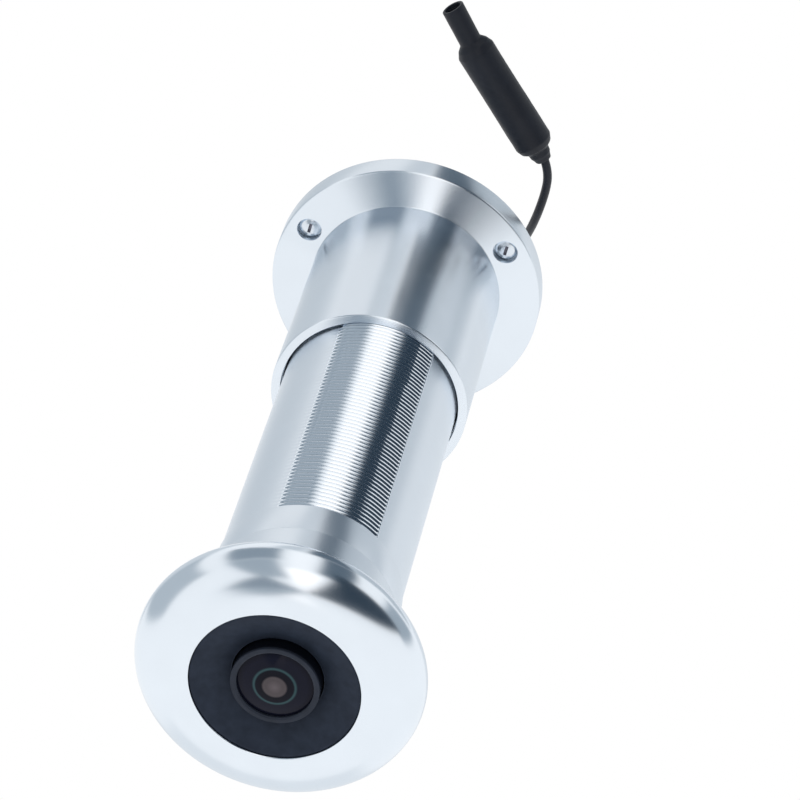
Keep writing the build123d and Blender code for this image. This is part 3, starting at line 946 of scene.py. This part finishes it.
class PEEPHOLE_OT_sleeve(Operator):
    """Make the clamp sleeve with its flange, the rear cover and the screws"""

    bl_idname = "peephole.sleeve"
    bl_label = "Clamp sleeve"

    def execute(self, context):
        sleeve = context.scene.peephole_sleeve
        angles = [math.radians(turn) for turn in (-62.0, 58.0, 178.0)]
        self.sleeve(sleeve, angles)
        self.cover(sleeve, angles)
        for number, turn in enumerate(angles, 1):
            self.screw(sleeve, turn, number)
        return {"FINISHED"}

    def sleeve(self, sleeve, angles):
        recess = sleeve.cover + 0.05 * MM
        outline = [
            (sleeve.mouth, sleeve.rim, 0.08),
            (sleeve.radius, sleeve.rim, 0.18),
            (sleeve.radius, sleeve.flange_face, 0.12),
            (sleeve.flange, sleeve.flange_face, 0.22),
            (sleeve.flange, sleeve.flange_rear, 0.25),
            (recess, sleeve.flange_rear, 0.1),
            (recess, sleeve.cover_front, 0.05),
            (sleeve.bore, sleeve.cover_front, 0.05),
            (sleeve.bore, sleeve.rim + sleeve.mouth_depth, 0.05),
            (sleeve.mouth, sleeve.rim + sleeve.mouth_depth, 0.05),
        ]
        piece = turned("sleeve_body", eased(outline, 0.05), 224)
        floor = sleeve.flange_face + sleeve.counterbore_depth
        counterbore = sleeve.counterbore, sleeve.flange_face - MM, floor
        hole = 0.85 * MM, floor - 0.2 * MM, sleeve.cover_front + 0.2 * MM
        carve(piece, drills(angles, sleeve.screw_circle, counterbore, hole))
        finish(piece, "turned aluminium")
        part_finish(piece, "turned face", is_flat)
        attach(piece, "sleeve")
        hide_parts("clamp_sleeve")

    def cover(self, sleeve, angles):
        bush_hole = 2.3 * MM
        outline = [
            (bush_hole, sleeve.cover_front),
            (sleeve.cover, sleeve.cover_front),
            (sleeve.cover, sleeve.cover_rear, 0.45),
            (bush_hole, sleeve.cover_rear, 0.1),
        ]
        piece = turned("cover_plate", eased(outline, 0.05), 192)
        hole = 0.82 * MM, sleeve.cover_front - MM, sleeve.cover_rear + MM
        carve(piece, drills(angles, sleeve.screw_circle, hole))
        finish(piece, "turned aluminium")
        part_finish(piece, "turned face", is_flat)
        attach(piece, "sleeve")
        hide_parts("rear_cover")

    def screw(self, sleeve, turn, number):
        seat = sleeve.counterbore_depth + sleeve.flange_face
        height, shank = 0.9 * MM, 0.8 * MM
        top, tail = seat - height, seat + 2.7 * MM
        outline = [
            (0, top),
            (0.45 * sleeve.screw_head, top + 0.06 * MM, 0.3),
            (0.8 * sleeve.screw_head, top + 0.2 * MM, 0.3),
            (sleeve.screw_head, seat - height / 2, 0.25),
            (sleeve.screw_head, seat, 0.08),
            (shank, seat, 0.05),
            (shank, tail, 0.15),
            (0, tail),
        ]
        piece = turned(f"screw_{number}", eased(outline, 0.05), 64)
        bpy.ops.mesh.primitive_cube_add(size=1.0)
        slot = bpy.context.object
        slot.data.transform(Matrix.Diagonal((sleeve.slot_length, height, sleeve.slot_width, 1.0)))
        slot.data.transform(Matrix.Rotation(-sleeve.slot_turn, 4, "Y"))
        slot.data.transform(Matrix.Translation((0, top, 0)))
        carve(piece, [slot])
        x, z = round_the_axis(turn, sleeve.screw_circle)
        piece.data.transform(Matrix.Translation((x, 0, z)))
        finish(piece, "screw steel")
        # painted shade: the slot's walls and floor get a dark colour in place of the shade inside the slot
        part_finish(piece, "slot shade", lambda face: self.in_slot(face, sleeve, x, z))
        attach(piece, "sleeve")
        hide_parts(f"cover_screw_{number}")

    def in_slot(self, face, sleeve, x, z):
        """Whether a face of the screw at x, z is a wall or the floor of its slot."""
        centre = Matrix.Rotation(sleeve.slot_turn, 4, "Y") @ (face.center - Vector((x, 0, z)))
        spare = 0.01 * MM
        in_head = centre.y < sleeve.flange_face + sleeve.counterbore_depth
        in_length = abs(centre.x) < sleeve.slot_length / 2 + spare
        return in_head and in_length and abs(centre.z) < sleeve.slot_width / 2 + spare


class PEEPHOLE_OT_bush(Operator):
    """Make the soft bush round the lead"""

    bl_idname = "peephole.bush"
    bl_label = "Cable bush"

    def execute(self, context):
        sleeve = context.scene.peephole_sleeve
        antenna = context.scene.peephole_antenna
        hole = antenna.lead + 0.185 * MM
        front = sleeve.cover_front - 0.05 * MM
        rear = sleeve.cover_rear + 0.05 * MM
        lip, neck, nose = 3.1 * MM, 2.25 * MM, 1.9 * MM
        lip_depth = 0.6 * MM
        outline = [
            (hole, front - lip_depth),
            (lip, front - lip_depth, 0.15),
            (lip, front, 0.1),
            (neck, front, 0.05),
            (neck, rear, 0.05),
            (lip, rear, 0.1),
            (lip, rear + lip_depth, 0.2),
            (nose, rear + lip_depth, 0.2),
            (hole + antenna.lead, antenna.exit, 0.2),
            (hole, antenna.exit, 0.08),
        ]
        piece = turned("bush_body", eased(outline, 0.05), 96)
        finish(piece, "bush rubber")
        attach(piece, "bush")
        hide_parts("cable_bush")
        return {"FINISHED"}


class PEEPHOLE_OT_lens(Operator):
    """Make the dished bezel, the lens body, its rim and the glass"""

    bl_idname = "peephole.lens"
    bl_label = "Bezel and lens"

    def execute(self, context):
        lens = context.scene.peephole_lens
        self.bezel(lens)
        self.body(lens)
        self.glass(lens)
        return {"FINISHED"}

    def keep(self, piece, material, slot, *nodes):
        finish(piece, material)
        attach(piece, "camera")
        if nodes:
            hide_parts(*nodes)

    def bezel(self, lens):
        bore = lens.body + 0.15 * MM
        rear = -3.0 * MM
        outline = [
            (bore, lens.dish_floor, 0.05),
            (lens.dish_radius, lens.dish_floor, 0.05),
            (lens.bezel - 0.3 * MM, lens.bezel_front, 0.12),
            (lens.bezel, lens.bezel_front, 0.1),
            (lens.bezel, rear),
            (bore, rear),
        ]
        piece = turned("bezel_dish", eased(outline, 0.05), 192)
        self.keep(piece, "black bezel", "bezel_black", "lens_bezel")

    def body(self, lens):
        pocket = lens.glass + 0.05 * MM
        rear_bore = 3.0 * MM
        stop_rear = lens.seat + lens.stop_depth
        outline = [
            (pocket, lens.shell),
            (lens.body, lens.shell),
            (lens.body, lens.rear, 0.1),
            (rear_bore, lens.rear),
            (rear_bore, stop_rear),
            (lens.stop, stop_rear),
            (lens.stop, lens.seat, 0.02),
            (pocket, lens.seat),
        ]
        piece = turned("lens_body", eased(outline, 0.03), 160)
        self.keep(piece, "lens black", "lens_black", "lens_barrel")
        ring = [
            (lens.ring_bore, lens.shell),
            (lens.ring_bore, lens.front + 0.12 * MM, 0.08),
            (lens.ring_bore + 0.25 * MM, lens.front, 0.1),
            (lens.body, lens.front, 0.12),
            (lens.body, lens.shell),
        ]
        piece = turned("lens_front_ring", eased(ring, 0.02), 160)
        self.keep(piece, "lens rim grey", "lens_grey", "lens_ring")

    def dome(self, radius, edge, bulge, steps):
        """Points of a dome from its apex to its edge."""
        curve = (radius**2 + bulge**2) / (2 * bulge)
        reach = math.asin(radius / curve)
        points = []
        for step in range(steps + 1):
            turn = reach * step / steps
            points.append((curve * math.sin(turn), edge - bulge + curve * (1 - math.cos(turn)), 0.0))
        return points

    def glass(self, lens):
        front = self.dome(lens.ring_bore - 0.05 * MM, lens.shell, lens.bulge, 24)
        rear = lens.seat - 0.2 * MM
        front += [(lens.glass, lens.shell, 0.0), (lens.glass, rear, 0.0), (0.0, rear, 0.0)]
        piece = turned("front_element", eased(front, 0.0), 128)
        self.keep(piece, "front glass", "lens_glass", "front_glass")


class PEEPHOLE_OT_insides(Operator):
    """Give the carried-over solids their materials"""

    bl_idname = "peephole.insides"
    bl_label = "Inner pieces"

    def execute(self, context):
        looks = {
            "bush rubber": ["bezel_seal"],
            "front glass": ["rear_glass"],
            "filter glass": ["infrared_filter"],
            "moulded black": ["lens_holder", "board_cradle_1", "board_cradle_2"],
            "sensor face": ["image_sensor"],
            "board green": ["sensor_board", "main_board"],
            "screw steel": ["board_ring", "radio_shield"],
            "chip black": ["board_header", "processor", "flash_memory", "power_coil"],
            "plug brass": ["antenna_socket", "lead_plug"],
            "lead black": ["lead_inside"],
            "tube copper": ["antenna_tube"],
            "core white": ["antenna_core"],
        }
        for material, nodes in looks.items():
            for node in nodes:
                dress_node(node, material)
        return {"FINISHED"}


class PEEPHOLE_PT_panel(Panel):
    """Buttons that make the pieces, in order"""

    bl_idname = "PEEPHOLE_PT_panel"
    bl_label = "Peephole Camera"
    bl_space_type = "VIEW_3D"
    bl_region_type = "UI"
    bl_category = "Peephole"

    def draw(self, context):
        for operator in operators:
            self.layout.operator(operator.bl_idname)


settings = {
    "peephole_finish": PeepholeFinish,
    "peephole_head": PeepholeHead,
    "peephole_barrel": PeepholeBarrel,
    "peephole_sleeve": PeepholeSleeve,
    "peephole_lens": PeepholeLens,
    "peephole_antenna": PeepholeAntenna,
    "peephole_stage": PeepholeStage,
}
operators = [
    PEEPHOLE_OT_finishes,
    PEEPHOLE_OT_stage,
    PEEPHOLE_OT_antenna,
    PEEPHOLE_OT_lead,
    PEEPHOLE_OT_head,
    PEEPHOLE_OT_barrel,
    PEEPHOLE_OT_sleeve,
    PEEPHOLE_OT_bush,
    PEEPHOLE_OT_lens,
    PEEPHOLE_OT_insides,
]


def register():
    for name, group in settings.items():
        bpy.utils.register_class(group)
        setattr(bpy.types.Scene, name, PointerProperty(type=group))
    for operator in operators:
        bpy.utils.register_class(operator)
    bpy.utils.register_class(PEEPHOLE_PT_panel)


def unregister():
    bpy.utils.unregister_class(PEEPHOLE_PT_panel)
    for operator in reversed(operators):
        bpy.utils.unregister_class(operator)
    for name, group in settings.items():
        delattr(bpy.types.Scene, name)
        bpy.utils.unregister_class(group)


def main():
    register()
    bpy.ops.peephole.finishes()
    bpy.ops.peephole.stage()
    bpy.ops.peephole.antenna()
    bpy.ops.peephole.lead()
    bpy.ops.peephole.head()
    bpy.ops.peephole.barrel()
    bpy.ops.peephole.sleeve()
    bpy.ops.peephole.bush()
    bpy.ops.peephole.lens()
    bpy.ops.peephole.insides()


if __name__ == "__main__":
    main()
